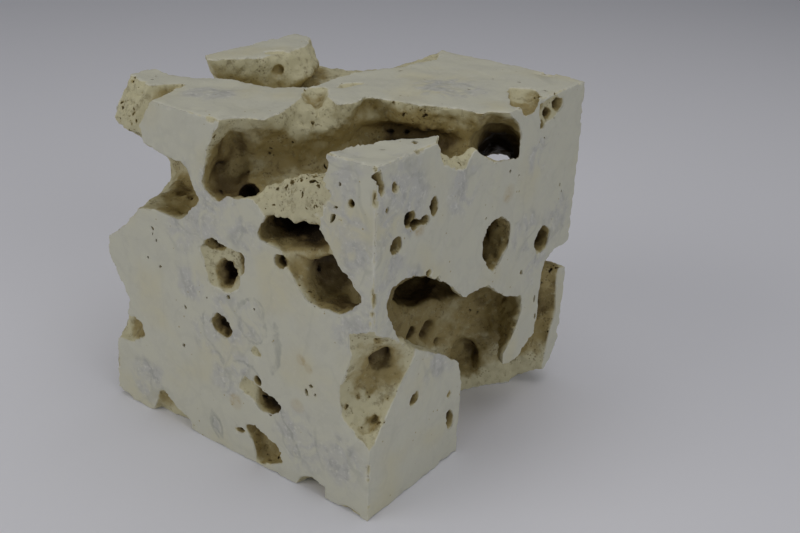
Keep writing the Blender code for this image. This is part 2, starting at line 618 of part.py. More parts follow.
def sawn_cube():
    """The cube as it was sawn, before its hollows."""
    mesh = bpy.data.meshes.new("limestone_block")
    bm = bmesh.new()
    bmesh.ops.create_cube(bm, size=SIDE * MM)
    bmesh.ops.translate(bm, verts=bm.verts, vec=(0, 0, SIDE * MM / 2))
    bm.to_mesh(mesh)
    bm.free()
    block = bpy.data.objects.new("limestone_block", mesh)
    bpy.context.scene.collection.objects.link(block)
    mesh.materials.append(stone())
    return block


def main():
    for old in list(bpy.data.objects):
        bpy.data.objects.remove(old)
    left_notch()
    broken_corner()
    upper_hollow()
    top_pits()
    back_notch()
    through_burrow()
    window()
    cave()
    right_edge()
    front_corner()
    left_edge()
    front_pits()
    right_pits()
    left_face()
    back_face()
    base_face()
    block = sawn_cube()
    for cutter in (hollow_skin(), joined(holes, "small_holes")):
        cut = block.modifiers.new(cutter.name, "BOOLEAN")
        cut.operation = "DIFFERENCE"
        cut.solver = "EXACT"
        cut.use_self = True
        cut.object = cutter


main()
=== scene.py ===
"""A block of shell limestone on a pale floor, seen from above its front right corner.

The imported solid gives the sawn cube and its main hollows. Here the walls of the hollows get
their lumps and pores, the edges get their chips, and the stone gets its colours.
"""

import math
import random

import bmesh
import bpy
import numpy as np
from mathutils import Matrix, Vector, noise
from mathutils.bvhtree import BVHTree


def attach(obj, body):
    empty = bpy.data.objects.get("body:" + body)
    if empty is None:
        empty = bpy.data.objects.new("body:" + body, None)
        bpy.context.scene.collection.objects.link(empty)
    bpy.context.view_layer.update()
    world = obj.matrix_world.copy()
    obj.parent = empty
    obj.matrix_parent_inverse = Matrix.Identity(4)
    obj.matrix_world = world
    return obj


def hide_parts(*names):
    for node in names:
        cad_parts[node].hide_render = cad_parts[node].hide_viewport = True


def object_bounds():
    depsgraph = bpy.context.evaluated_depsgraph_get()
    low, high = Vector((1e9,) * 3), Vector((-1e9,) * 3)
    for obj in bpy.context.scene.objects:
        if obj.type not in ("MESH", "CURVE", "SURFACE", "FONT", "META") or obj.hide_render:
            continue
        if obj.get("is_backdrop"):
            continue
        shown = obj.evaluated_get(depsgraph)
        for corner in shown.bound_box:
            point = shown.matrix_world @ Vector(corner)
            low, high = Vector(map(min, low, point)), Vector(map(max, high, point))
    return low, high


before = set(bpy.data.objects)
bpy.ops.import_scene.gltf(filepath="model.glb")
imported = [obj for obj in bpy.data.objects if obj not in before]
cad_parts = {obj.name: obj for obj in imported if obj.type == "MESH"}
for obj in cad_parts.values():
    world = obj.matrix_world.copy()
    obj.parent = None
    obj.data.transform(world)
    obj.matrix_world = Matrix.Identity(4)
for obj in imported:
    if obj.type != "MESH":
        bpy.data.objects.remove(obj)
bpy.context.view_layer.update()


# The block is one natural piece of shell limestone, sawn on six sides.
# The sawn faces are fine and nearly smooth. The hollows are as the ground water left them:
# lumpy, porous, and open to the sawn faces along thin, chipped rims.
MM = 0.001
SIDE = 0.200
HALF = SIDE / 2
SKIN_STEP = 1.2 * MM            # even step of the stone's skin before it is thinned
SKIN_TRIANGLES = 146000
SNAP = 0.35                     # share of a step within which a point counts as on a sawn plane
WALL_PASSES = 12                # smoothing of the walls before they get their lumps
RIM_WIDTH = 2.2 * MM            # walls reach their full roughness this deep

bpy.ops.object.select_all(action="DESELECT")
block = bpy.data.objects.new("limestone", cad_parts["limestone_block"].data.copy())
bpy.context.scene.collection.objects.link(block)
bpy.context.view_layer.objects.active = block
block.select_set(True)
bpy.ops.object.mode_set(mode="EDIT")
bpy.ops.mesh.select_all(action="SELECT")
bpy.ops.mesh.remove_doubles(threshold=0.000001)
bpy.ops.object.mode_set(mode="OBJECT")

even = block.modifiers.new("even skin", "REMESH")
even.mode = "VOXEL"
even.voxel_size = SKIN_STEP
bpy.ops.object.modifier_apply(modifier=even.name)


def vertex_array(mesh, what):
    """One row for each vertex: its place or its normal."""
    values = np.empty(len(mesh.vertices) * 3, np.float32)
    mesh.vertices.foreach_get(what, values)
    return values.reshape(-1, 3).astype(np.float64)


def put_back(mesh, points):
    """Moves the mesh's vertices to these points."""
    mesh.vertices.foreach_set("co", points.astype(np.float32).ravel())
    mesh.update()


def edge_array(mesh):
    """One row for each edge: its two vertices."""
    ends = np.empty(len(mesh.edges) * 2, np.int32)
    mesh.edges.foreach_get("vertices", ends)
    return ends.reshape(-1, 2)


def neighbour_mean(values, ends):
    """The mean of each vertex's neighbours."""
    count = len(values)
    degree = np.bincount(ends.ravel(), minlength=count)
    total = np.empty_like(values)
    for k in range(values.shape[1]):
        total[:, k] = np.bincount(ends[:, 0], values[ends[:, 1], k], count)
        total[:, k] += np.bincount(ends[:, 1], values[ends[:, 0], k], count)
    return total / np.maximum(degree, 1)[:, None]


def depth_under_faces(points):
    """How deep each point lies under the nearest sawn plane."""
    return HALF - np.abs(points - (0, 0, HALF)).max(axis=1)


def gap_to_edges(points):
    """How far each point is from the nearest edge of the cube, along the face beside it."""
    return HALF - np.sort(np.abs(points - (0, 0, HALF)), axis=1)[:, 1]


def keep_in_cube(points):
    """Nothing stands out of the sawn planes."""
    points[:, :2] = np.clip(points[:, :2], -HALF, HALF)
    points[:, 2] = np.clip(points[:, 2], 0, SIDE)


def ramp(values, low, high):
    """0 below low, 1 above high, and smooth between."""
    share = np.clip((values - low) / (high - low), 0, 1)
    return share * share * (3 - 2 * share)


points = vertex_array(block.data, "co")
ends = edge_array(block.data)

# The sawn planes are flat: a skin point that all but lies in one is put in it.
for axis, low in ((0, -HALF), (1, -HALF), (2, 0.0)):
    for plane in (low, low + SIDE):
        on_plane = np.abs(points[:, axis] - plane) < SNAP * SKIN_STEP
        points[on_plane, axis] = plane
depth = depth_under_faces(points)
wall = ramp(depth, 0.1 * MM, RIM_WIDTH)[:, None]
for _ in range(WALL_PASSES):
    points += (neighbour_mean(points, ends) - points) * 0.5 * wall
put_back(block.data, points)

# Lumps and pores: each point of a wall moves along its normal. Places are in millimetres from
# the bottom corner at the left end of the front face.
LUMPS = (                       # length of a lump, how far it moves the wall
    (13.0 * MM, 1.4 * MM),
    (5.0 * MM, 0.95 * MM),
    (2.4 * MM, 0.50 * MM),
)
CREASES = 0.8 * MM              # and how deep the creases between the lumps are
CREASE_SIZE = 9.0 * MM
PORE_SIZE = 6.0 * MM
PORE_DEPTH = 1.5 * MM
PORE_REACH = 0.30               # a pore reaches this share of its size from its middle
PATCH_SIZE = 22.0 * MM          # pores come in patches of this size,
PATCH_EDGE = -0.12              # where the patches' noise is over this
CRUMB_SIZE = 5.5 * MM
CRUMB_MEAN = 0.45               # crumbs stand out where their noise is over this
CRUMB_SWELL = 1.7
CRUMBLY_CORE = 0.6              # share of the radius within which the crumbs are at their full height
CRUMBLY = (                     # a spot, the radius round it, how high the crumbs stand
    (146, 0, 172, 26, 1.4),     # the rough band above the window
    (4, 20, 186, 26, 1.4),      # the broken corner
    (96, 6, 118, 20, 1.3),
    (95, 4, 80, 11, 1.2),
    (192, 14, 62, 20, 1.3),     # the front corner's lower part
    (196, 66, 190, 16, 1.2),
    (196, 160, 192, 16, 1.2),
    (128, 8, 12, 16, 1.0),
    (180, 150, 40, 40, 0.9),    # the low end of the cave
    (100, 60, 196, 16, 0.8),
    (114, 60, 190, 18, 1.0),    # the trench's left wall and its end
    (150, 100, 190, 28, 0.9),
)
WORN_EDGES = (                  # a spot, the radius round it, how much more its edge is broken
    (200, 0, 150, 52, 1.6),     # the front vertical edge
    (200, 20, 200, 30, 1.4),
    (170, 0, 200, 24, 1.2),
    (100, 0, 200, 30, 1.0),
    (150, 0, 0, 60, 0.9),
)
TOP_DIPS = (24 * MM, 0.20, 1.3 * MM)    # wide shallow dips worn into the sawn faces: how
SIDE_DIPS = (15 * MM, 0.06, 0.7 * MM)   # long, how much of the face they cover, how deep
DIP_REACH = 3.0 * MM            # what lies this near the face sinks with it
DIP_EDGE = 6.0 * MM             # and the dips run out towards the cube's edges
RIM_WEAR = 1.7 * MM             # how far the hollows' rims are broken back
RIM_REACH = 2.4 * MM            # how deep under a sawn face a rim goes on
RIM_ROUGH = 0.6                 # a rim has this share of the walls' roughness
RIM_SIZE = 5.0 * MM
RIM_SHARE = 0.10                # more of the rim is broken where this is larger


def from_corner(x, y, z):
    """A spot in millimetres from the corner, in the scene."""
    return Vector((x * MM - HALF, y * MM - HALF, z * MM))


def around(points, x, y, z, radius, core):
    """1 in the core of a ball round a spot, a share of its radius, and from there down to 0."""
    gaps = np.linalg.norm(points - np.array(from_corner(x, y, z)), axis=1)
    return 1 - ramp(gaps, core * radius * MM, radius * MM)


normals = vertex_array(block.data, "normal")
depth = depth_under_faces(points)
rough = RIM_ROUGH + (1 - RIM_ROUGH) * ramp(depth, 0.3 * MM, 2 * RIM_WIDTH)
inside = (depth > 0.02 * MM) | (np.abs(normals).max(axis=1) < 0.98)
crumbs = np.zeros(len(points))
for x, y, z, radius, height in CRUMBLY:
    crumbs = np.maximum(crumbs, height * MM * around(points, x, y, z, radius, CRUMBLY_CORE))
rim = 1 - ramp(depth, 0.5 * MM, RIM_REACH)
move = np.zeros(len(points))
for i in np.nonzero(inside)[0]:
    spot = Vector(points[i])
    shift = 0.0
    for length, height in LUMPS:
        shift += noise.noise(spot / length + Vector((length * 9000, 3.7, 1.1))) * height
    shift += (0.5 - noise.turbulence(spot / CREASE_SIZE, 3, True)) * CREASES
    patch = noise.noise(spot / PATCH_SIZE + Vector((5.2, 8.1, 0.4)))
    if patch > PATCH_EDGE:
        pore = noise.voronoi(spot / PORE_SIZE)[0][0]
        sunk = max(0.0, PORE_REACH - pore) / PORE_REACH * PORE_DEPTH
        shift -= sunk * min(1.0, (patch - PATCH_EDGE) * 4)
    if crumbs[i] > 0:
        crumb = noise.turbulence(spot / CRUMB_SIZE, 3, True) - CRUMB_MEAN
        shift += crumb * crumbs[i] * CRUMB_SWELL
    if rim[i] > 0:
        bite = noise.fractal(spot / RIM_SIZE, 0.7, 2.2, 3) + RIM_SHARE
        shift -= max(0.0, bite) * rim[i] * RIM_WEAR
    move[i] = shift
points += normals * (move * rough)[:, None]


def worn_back(spots):
    """How far the sawn face beside each spot is worn back there. The base isn't worn."""
    centred = spots - (0, 0, HALF)
    axes = np.abs(centred).argmax(axis=1)
    worn = np.zeros(len(spots))
    for i in np.nonzero(depth_under_faces(spots) < DIP_REACH)[0]:
        axis = int(axes[i])
        spot = Vector(centred[i])
        if axis == 2 and spot.z < 0:
            continue
        spot[axis] = math.copysign(HALF, spot[axis])
        length, cover, deepest = TOP_DIPS if axis == 2 else SIDE_DIPS
        worn[i] = max(0.0, noise.fractal(spot / length, 0.8, 2.1, 3) + cover) * deepest
    return worn * ramp(gap_to_edges(spots), 0, DIP_EDGE)


centred = points - (0, 0, HALF)
axes = np.abs(centred).argmax(axis=1)
rows = np.arange(len(points))
sunk = worn_back(points) * (1 - ramp(depth_under_faces(points), 0, DIP_REACH))
points[rows, axes] -= np.sign(centred[rows, axes]) * sunk

# Chips: along the cube's own edges the stone is a little broken.
CHIP_REACH = 3.4 * MM
CHIP_SIZES = (10.0 * MM, 3.4 * MM)
CHIP_LEAST = 0.15               # an edge is a little worn all along
CHIP_DEPTH = 1.4                # millimetres
CHIP_MOST = 2.4 * MM
WORN_CORE = 0.5                 # share of the radius within which an edge is at its most worn
edge_gap = gap_to_edges(points)
battered = np.ones(len(points))
for x, y, z, radius, more in WORN_EDGES:
    battered = np.maximum(battered, 1 + more * around(points, x, y, z, radius, WORN_CORE))
for i in np.nonzero((edge_gap < CHIP_REACH) & (depth < CHIP_REACH))[0]:
    spot = Vector(points[i])
    bite = noise.noise(spot / CHIP_SIZES[0] + Vector((1.3, 4.4, 9.2)))
    bite += 0.6 * noise.noise(spot / CHIP_SIZES[1])
    amount = max(CHIP_LEAST, bite * 2.6 - 0.4) * (1 - edge_gap[i] / CHIP_REACH) * CHIP_DEPTH * MM
    points[i] -= normals[i] * min(amount * battered[i], CHIP_MOST)

keep_in_cube(points)
put_back(block.data, points)

thin = block.modifiers.new("thin", "DECIMATE")
thin.ratio = SKIN_TRIANGLES / (2 * len(block.data.polygons))
bpy.ops.object.modifier_apply(modifier=thin.name)

# Pits: small clean holes in the sawn faces, each where it is seen, and swarms of pores where
# the stone is full of them. Places are in millimetres from the bottom corner at the left end
# of the front face.
SAWN_PITS = (                   # face, place along it and up it, width, height, depth, turn
    ("front", 160, 68, 3.0, 2.4, 4, 0),
    ("front", 157, 63, 2.6, 4.4, 4, 20),
    ("front", 163, 64, 1.6, 1.8, 3, 0),
    ("front", 66, 83, 1.6, 3.0, 3, 20),
    ("front", 63, 57, 2.6, 2.8, 3, 0),
    ("front", 45, 118, 1.6, 2.0, 3, 0),
    ("front", 37, 105, 1.8, 1.4, 3, 0),
    ("front", 101, 101, 3.0, 2.6, 4, 0),
    ("front", 84, 95, 1.6, 1.4, 3, 0),
    ("front", 120, 100, 1.4, 1.6, 3, 0),
    ("front", 196, 100, 2.4, 5.0, 4, 0),
    ("front", 174, 168, 3.0, 6.0, 5, -25),
    ("front", 178, 186, 1.6, 2.4, 3, 0),
    ("right", 120, 165, 1.8, 2.4, 4, 0),
    ("right", 130, 160, 1.4, 1.6, 3, 0),
    ("right", 98, 144, 1.8, 1.6, 3, 0),
    ("right", 180, 140, 1.8, 2.4, 4, 0),
    ("right", 183, 135, 1.4, 1.8, 3, 0),
    ("right", 143, 95, 3.0, 4.4, 4, 25),
    ("right", 162, 70, 2.6, 5.6, 5, 10),
    ("right", 165, 57, 2.6, 4.6, 5, 10),
    ("right", 9, 176, 2.6, 4.0, 4, 20),
    ("right", 46, 168, 1.6, 2.0, 3, 0),
    ("top", 160, 135, 2.4, 1.8, 3, 0),
    ("top", 108, 140, 2.0, 2.8, 3, 0),
    ("top", 157, 165, 2.0, 2.0, 3, 0),
    ("top", 173, 168, 2.8, 1.8, 3, 0),
    ("top", 186, 22, 3.4, 1.8, 3, 40),
    ("top", 192, 40, 4.0, 5.0, 3, 30),
)
WALL_PITS = (                   # a spot beside a wall, width, height, depth, turn
    (114, 55, 189, 2.4, 2.2, 3, 0),
    (117, 61, 162, 1.4, 4.4, 3, 10),
    (157, 6, 180, 4.4, 2.2, 4, 10),     # crevices along the rough band's top
    (168, 0, 184, 4.0, 2.6, 4, 0),
    (171, 1, 181, 3.0, 1.8, 3, 30),
    (147, 7, 179, 4.6, 1.6, 4, 0),
    (176, 0, 174, 3.0, 1.6, 3, 20),
    (127, 107, 175, 3.6, 2.4, 5, 0),
    (135, 112, 175, 3.2, 2.2, 5, 0),
    (159, 99, 184, 3.0, 2.6, 4, 0),
    (150, 17, 127, 3.0, 3.4, 4, 0),     # the window's bowl
    (151, 15, 134, 2.0, 2.2, 3, 0),
    (88, 10, 156, 1.8, 1.6, 3, 0),
    (106, 30, 175, 1.6, 1.4, 2, 0),
    (112, 40, 180, 1.4, 1.4, 2, 0),
)
PORE_ZONES = (                  # a spot, the radius round it, how many pores
    (146, 4, 172, 22, 100),     # the rough band above the window
    (150, 2, 180, 16, 30),
    (8, 20, 188, 22, 60),       # the broken corner
    (96, 6, 122, 16, 22),
    (192, 18, 62, 18, 16),      # the front corner's lower part
    (158, 4, 122, 12, 12),
    (196, 66, 190, 14, 26),
    (196, 160, 190, 16, 30),
    (150, 94, 196, 12, 16),
    (190, 190, 60, 28, 36),
    (180, 145, 40, 26, 34),
    (60, 180, 110, 24, 20),
    (16, 150, 66, 20, 16),
    (110, 20, 172, 34, 30),     # the upper hollow and the trench
    (150, 70, 186, 40, 40),
    (60, 90, 185, 44, 40),      # the valley and the dish
    (90, 150, 195, 50, 24),
    (30, 20, 130, 40, 36),      # the left notch
    (125, 40, 0, 60, 20),
    (0, 100, 100, 90, 40),
    (100, 200, 100, 90, 40),
)
WALL_DEPTH = 0.3 * MM           # a face deeper than this belongs to a wall
PORE_WIDTHS = (0.7, 2.6)        # from the narrowest to the widest, most of them narrow
PORE_ROUND = (0.72, 1.0)        # a pore's height, as a share of its width
PORE_DEEP = 0.9                 # and its depth
PORE_GAP = 1.15                 # pores stay this many widths apart
PORE_SWARM = 7.0                # and gather in swarms of about this size,
SWARM_EDGE = -0.05              # where the swarms' noise is over this
PORE_RAGGED = 0.26              # share by which their walls wander
PORE_CHAIN = 1.3                # a pore wider than this runs on into one or two smaller ones,
CHAIN_SHRINK = (0.55, 0.8)      # each by such a share
PORE_ROUNDS = 3                 # pits of one round stay apart, those of the next may open into them
PIT_FINENESS = 2                # subdivisions of the ball that a pit is made from
PORE_FINENESS = 1
FACE_PLACES = {                 # where a place on each face lies, and the way out of it
    "front": lambda u, v: (from_corner(u, 0, v), Vector((0, -1, 0)), Vector((1, 0, 0))),
    "right": lambda u, v: (from_corner(200, u, v), Vector((1, 0, 0)), Vector((0, 1, 0))),
    "top": lambda u, v: (from_corner(u, v, 200), Vector((0, 0, 1)), Vector((1, 0, 0))),
}
pits = [bmesh.new() for _ in range(PORE_ROUNDS)]     # the pits of each round,
taken = [[] for _ in range(PORE_ROUNDS)]             # and the middle and size of each of them
chance = random.Random(41)


def cut_pit(middle, out, along, width, height, depth, fineness):
    """An egg-shaped pit with ragged walls, in the first round that has room for it there."""
    size = max(width, height)
    room = 0
    while any((middle - other).length < (size + wide) / 2 * PORE_GAP * MM for other, wide in taken[room]):
        room += 1
        if room == PORE_ROUNDS:
            return
    taken[room].append((middle, size))
    up = out.cross(along)
    made = bmesh.ops.create_icosphere(pits[room], subdivisions=fineness, radius=1.0)
    for vert in made["verts"]:
        spot = along * (vert.co.x * width / 2) + up * (vert.co.y * height / 2)
        spot *= 1 + chance.uniform(-PORE_RAGGED, PORE_RAGGED)
        vert.co = middle + (spot + out * (vert.co.z * depth)) * MM


for face, u, v, width, height, depth, turn in SAWN_PITS:
    middle, out, along = FACE_PLACES[face](u, v)
    along = Matrix.Rotation(math.radians(turn), 3, out) @ along
    cut_pit(middle, out, along, width, height, depth, PIT_FINENESS)

for x, y, z, width, height, depth, turn in WALL_PITS:
    _, middle, out, _ = block.closest_point_on_mesh(from_corner(x, y, z))
    level = Vector((0, 0, 1)).cross(out)
    level = level.normalized() if level.length > 0.1 else Vector((1, 0, 0))
    along = Matrix.Rotation(math.radians(turn), 3, out) @ level
    cut_pit(middle, out, along, width, height, depth, PIT_FINENESS)

mesh = block.data
centres = np.array([polygon.center[:] for polygon in mesh.polygons])
ways_out = np.array([polygon.normal[:] for polygon in mesh.polygons])
areas = np.array([polygon.area for polygon in mesh.polygons])
is_wall = depth_under_faces(centres) > WALL_DEPTH
for x, y, z, radius, count in PORE_ZONES:
    gaps = np.linalg.norm(centres - np.array(from_corner(x, y, z)), axis=1)
    inside = np.nonzero((gaps < radius * MM) & is_wall)[0]
    picks = chance.choices(list(inside), weights=list(areas[inside]), k=count) if len(inside) else []
    for pick in picks:
        width = PORE_WIDTHS[0] + (PORE_WIDTHS[1] - PORE_WIDTHS[0]) * chance.random() ** 2.2
        middle = Vector(centres[pick])
        if noise.noise(middle / (PORE_SWARM * MM)) < SWARM_EDGE:
            continue
        out = Vector(ways_out[pick])
        along = out.orthogonal().normalized()
        along = Matrix.Rotation(chance.uniform(0, math.tau), 3, out) @ along
        height = width * chance.uniform(*PORE_ROUND)
        cut_pit(middle, out, along, width, height, width * PORE_DEEP, PORE_FINENESS)
        if width > PORE_CHAIN:
            for _ in range(chance.randint(1, 2)):
                width *= chance.uniform(*CHAIN_SHRINK)
                middle = middle + along * (width * 0.7 * MM)
                along = Matrix.Rotation(chance.uniform(-0.9, 0.9), 3, out) @ along
                height = width * chance.uniform(*PORE_ROUND)
                cut_pit(middle, out, along, width, height, width * PORE_DEEP, PORE_FINENESS)

for made in pits:
    pit_mesh = bpy.data.meshes.new("pits")
    made.to_mesh(pit_mesh)
    made.free()
    cutter = bpy.data.objects.new("pits", pit_mesh)
    bpy.context.scene.collection.objects.link(cutter)
    bite = block.modifiers.new("pits", "BOOLEAN")
    bite.operation = "DIFFERENCE"
    bite.solver = "MANIFOLD"
    bite.object = cutter
    bpy.ops.object.modifier_apply(modifier=bite.name)
    bpy.data.objects.remove(cutter)


mesh = block.data
points = vertex_array(mesh, "co")
keep_in_cube(points)
put_back(mesh, points)

# Polygons that share a corner with only two edges would be cut into triangles back to back
# there, so such corners are taken out, and points closer together than this are joined.
WELD = 0.0002 * MM
cleaned = bmesh.new()
cleaned.from_mesh(mesh)
bmesh.ops.remove_doubles(cleaned, verts=cleaned.verts[:], dist=WELD)
two_edged = [vert for vert in cleaned.verts if len(vert.link_edges) == 2]
bmesh.ops.dissolve_verts(cleaned, verts=two_edged)
bmesh.ops.triangulate(cleaned, faces=cleaned.faces[:])
cleaned.to_mesh(mesh)
cleaned.free()

# Painted shade: the hollows' colour darkens with how closed in each spot is, as rays from it show what
# stands in front.
SKY_RAYS = 20
SKY_REACH = 45 * MM
SKY_DEPTH = 0.15 * MM           # spots deeper under the faces than this are looked at
RAY_LIFT = 0.3                  # the rays start this many millimetres off the stone
GRAZING = 0.05                  # rays flatter to the stone than this aren't sent
FAR_LOSS = 0.4                  # what stands at the end of the reach counts this much less
points = vertex_array(mesh, "co")
normals = vertex_array(mesh, "normal")
mesh.calc_loop_triangles()
corners = np.empty(len(mesh.loop_triangles) * 3, np.int32)
mesh.loop_triangles.foreach_get("vertices", corners)
tree = BVHTree.FromPolygons([tuple(p) for p in points], corners.reshape(-1, 3).tolist())
golden = math.pi * (3 - math.sqrt(5))
directions = []
for k in range(SKY_RAYS * 2):
    z = 1 - (2 * k + 1) / (SKY_RAYS * 2)
    r = math.sqrt(1 - z * z)
    directions.append(Vector((r * math.cos(golden * k), r * math.sin(golden * k), z)))
depth = depth_under_faces(points)
occlusion = np.zeros(len(points))
for i in np.nonzero(depth > SKY_DEPTH)[0]:
    normal = Vector(normals[i])
    start = Vector(points[i]) + normal * RAY_LIFT * MM
    total = hit = 0.0
    for way in directions:
        facing = way.dot(normal)
        if facing <= GRAZING:
            continue
        total += facing
        found = tree.ray_cast(start, way, SKY_REACH)
        if found[0] is not None:
            hit += facing * (1 - FAR_LOSS * found[3] / SKY_REACH)
    occlusion[i] = hit / max(total, 0.001)
ends = edge_array(mesh)
occlusion = occlusion[:, None]
for _ in range(2):
    occlusion += (neighbour_mean(occlusion, ends) - occlusion) * 0.5 * ramp(depth, 0.1 * MM, MM)[:, None]
shade = mesh.attributes.new("occlusion", "FLOAT", "POINT")
shade.data.foreach_set("value", occlusion[:, 0].astype(np.float32))
under = np.maximum(0, depth - worn_back(points)) / MM
below = mesh.attributes.new("under", "FLOAT", "POINT")
below.data.foreach_set("value", under.astype(np.float32))

SHARP_ANGLE = 38                # sharper edges than this stay sharp
for polygon in mesh.polygons:
    polygon.use_smooth = True
bpy.ops.object.shade_smooth_by_angle(angle=math.radians(SHARP_ANGLE))

CREAM = (0.578, 0.568, 0.460, 1)        # the sawn faces
YELLOW = (0.585, 0.550, 0.385, 1)       # their faint warm patches
CRUST = (0.500, 0.494, 0.448, 1)        # the pale crust that lies on them in patches
CRUST_GREY = (0.330, 0.326, 0.295, 1)   # and its grey specks
CRUST_WHITE = (0.690, 0.680, 0.615, 1)  # and its white ones
OUTLINE = (0.350, 0.352, 0.300, 1)      # grey-green lines along the crust's patches
RUST = (0.440, 0.340, 0.170, 1)         # small ochre stains on the sawn faces
RIM = (0.660, 0.648, 0.565, 1)          # the thin bare rims of the hollows
PALE = (0.560, 0.520, 0.335, 1)         # hollow walls that lie open
OCHRE = (0.345, 0.272, 0.112, 1)        # hollow walls further in
BROWN = (0.145, 0.100, 0.036, 1)        # brown stains, and painted shade where little light gets in
# near black: painted shade deep in the closed-in holes
DEEP_SHADE = (0.040, 0.027, 0.013, 1)

# Where the walls are darkened towards brown, for their brown stains and as painted shade in the deepest
# hollows: a spot and a radius.
BROWN_STAIN_AND_SHADE = (
    (172, 95, 75, 46),
    (176, 140, 45, 40),
    (97, 8, 112, 12),
    (160, 24, 140, 26),
    (128, 14, 44, 12),
    (94, 8, 80, 10),
    (92, 12, 164, 16),
    (150, 100, 176, 24),
    (152, 2, 142, 15),
    (192, 144, 196, 13),
    (197, 180, 50, 34),
    (192, 16, 86, 20),
    (86, 14, 175, 13),
    (100, 20, 155, 10),
    (136, 34, 150, 26),
    (174, 16, 127, 17),
    (158, 112, 62, 40),
    (18, 6, 48, 9),
    (38, 3, 10, 9),
    (183, 172, 40, 22),
    (190, 30, 166, 9),
)

# Small ochre stains on the sawn faces, as spots and radii, and the ghosts of shells that the
# saw cut through: place along the front face and up it, half width, half height, turn.
RUSTY = (
    (153, 0, 81, 3.5),
    (158, 0, 78, 3.0),
    (104, 0, 36, 5.0),
    (150, 0, 52, 5.0),
    (200, 36, 158, 5.0),
    (200, 120, 152, 6.0),
    (186, 0, 62, 6.0),
)
GHOSTS = (
    (118, 92, 10.5, 13.5, 0),
    (87, 13, 4.0, 8.0, -20),
)
GHOST_DEPTH = 9.0               # how far they reach into the stone

# Grey-green veins in the front face, as places along it and up it, with their half widths.
VEINS = (
    (0.9, (82, 86), (79, 74), (83, 68), (92, 62), (95, 56), (97, 50)),
    (0.7, (103, 62), (111, 65), (117, 63), (122, 58)),
    (0.8, (138, 44), (143, 37), (147, 29), (152, 20)),
    (0.7, (84, 22), (85, 12), (91, 4)),
    (2.2, (135, 94), (137, 84), (136, 74), (134, 66)),
)

# Where the grey crust lies: a spot and a radius, in millimetres from the same corner.
CRUST_ZONES = (
    (88, 0, 150, 26),       # under the upper hollow, left of the window
    (112, 0, 143, 14),
    (66, 0, 128, 12),
    (72, 0, 100, 12),       # the band that runs down past the shell moulds
    (84, 0, 72, 13),
    (104, 0, 88, 17),
    (96, 0, 48, 12),
    (108, 0, 60, 10),
    (178, 0, 178, 22),      # beside the front vertical edge
    (192, 0, 150, 14),
    (196, 0, 118, 18),
    (184, 0, 108, 12),
    (150, 0, 30, 20),
    (182, 0, 30, 16),
    (30, 0, 20, 16),
    (200, 20, 176, 24),     # along the top and the front of the right face
    (200, 14, 140, 14),
    (200, 74, 168, 16),
    (200, 30, 126, 14),
    (200, 142, 120, 14),
    (200, 180, 120, 16),
    (200, 150, 165, 12),
    (200, 60, 75, 16),
    (200, 160, 92, 12),
    (160, 40, 200, 16),
    (60, 30, 200, 14),
    (150, 130, 200, 22),
    (0, 60, 110, 24),
    (0, 150, 30, 26),
    (150, 200, 60, 30),
    (60, 200, 160, 24),
)
PORE_SPACING = 1.9              # how far apart the finest pores of the hollows lie
PIN_SPACING = 5.0               # and the finest pinholes of the sawn faces
WAVER_SIZE = 7                  # the veins waver in waves of this length
WAVER_REACH = Vector((8, 0, 8)) * MM

stone = bpy.data.materials.new("shell limestone")
stone.use_nodes = True
nodes = stone.node_tree.nodes
links = stone.node_tree.links
shader = nodes["Principled BSDF"]
shader.inputs["Roughness"].default_value = 0.62
shader.inputs["Specular IOR Level"].default_value = 0.35
place = nodes.new("ShaderNodeTexCoord")


def maths(operation, *values):
    """A Math node fed with sockets or numbers."""
    node = nodes.new("ShaderNodeMath")
    node.operation = operation
    for socket, value in zip(node.inputs, values):
        if isinstance(value, (int, float)):
            socket.default_value = value
        else:
            links.new(value, socket)
    return node.outputs[0]


def vectors(operation, *values):
    """A Vector Math node fed with sockets or vectors."""
    node = nodes.new("ShaderNodeVectorMath")
    node.operation = operation
    for socket, value in zip(node.inputs, values):
        if isinstance(value, Vector):
            socket.default_value = value
        else:
            links.new(value, socket)
    return node


def grain(size_mm, detail=2.0, rough_share=0.5, shift=(0, 0, 0), warp=0.0):
    """Noise with lumps of about this size, from 0 to 1."""
    move = nodes.new("ShaderNodeMapping")
    move.inputs["Location"].default_value = shift
    links.new(place.outputs["Object"], move.inputs["Vector"])
    node = nodes.new("ShaderNodeTexNoise")
    node.inputs["Scale"].default_value = 1000.0 / size_mm
    node.inputs["Detail"].default_value = detail
    node.inputs["Roughness"].default_value = rough_share
    node.inputs["Distortion"].default_value = warp
    links.new(move.outputs["Vector"], node.inputs["Vector"])
    return node.outputs["Fac"]


def cells(size_mm):
    """How far a place is from the middle of its cell, in cells of about this size."""
    node = nodes.new("ShaderNodeTexVoronoi")
    node.inputs["Scale"].default_value = 1000.0 / size_mm
    links.new(place.outputs["Object"], node.inputs["Vector"])
    return node.outputs["Distance"]


def between(value, low, high):
    """0 where the value is under low and 1 over high, smooth between."""
    node = nodes.new("ShaderNodeMapRange")
    node.interpolation_type = "SMOOTHSTEP"
    links.new(value, node.inputs["Value"])
    node.inputs["From Min"].default_value = low
    node.inputs["From Max"].default_value = high
    return node.outputs["Result"]


def mixed(share, first, second):
    """A colour between two colours."""
    node = nodes.new("ShaderNodeMix")
    node.data_type = "RGBA"
    if isinstance(share, float):
        node.inputs["Factor"].default_value = share
    else:
        links.new(share, node.inputs["Factor"])
    for socket, value in ((node.inputs["A"], first), (node.inputs["B"], second)):
        if isinstance(value, tuple):
            socket.default_value = value
        else:
            links.new(value, socket)
    return node.outputs["Result"]


def told(name):
    """A value that the mesh carries for each of its points."""
    node = nodes.new("ShaderNodeAttribute")
    node.attribute_name = name
    return node.outputs["Fac"]


deep = told("under")            # millimetres
occlusion_shade = told("occlusion")


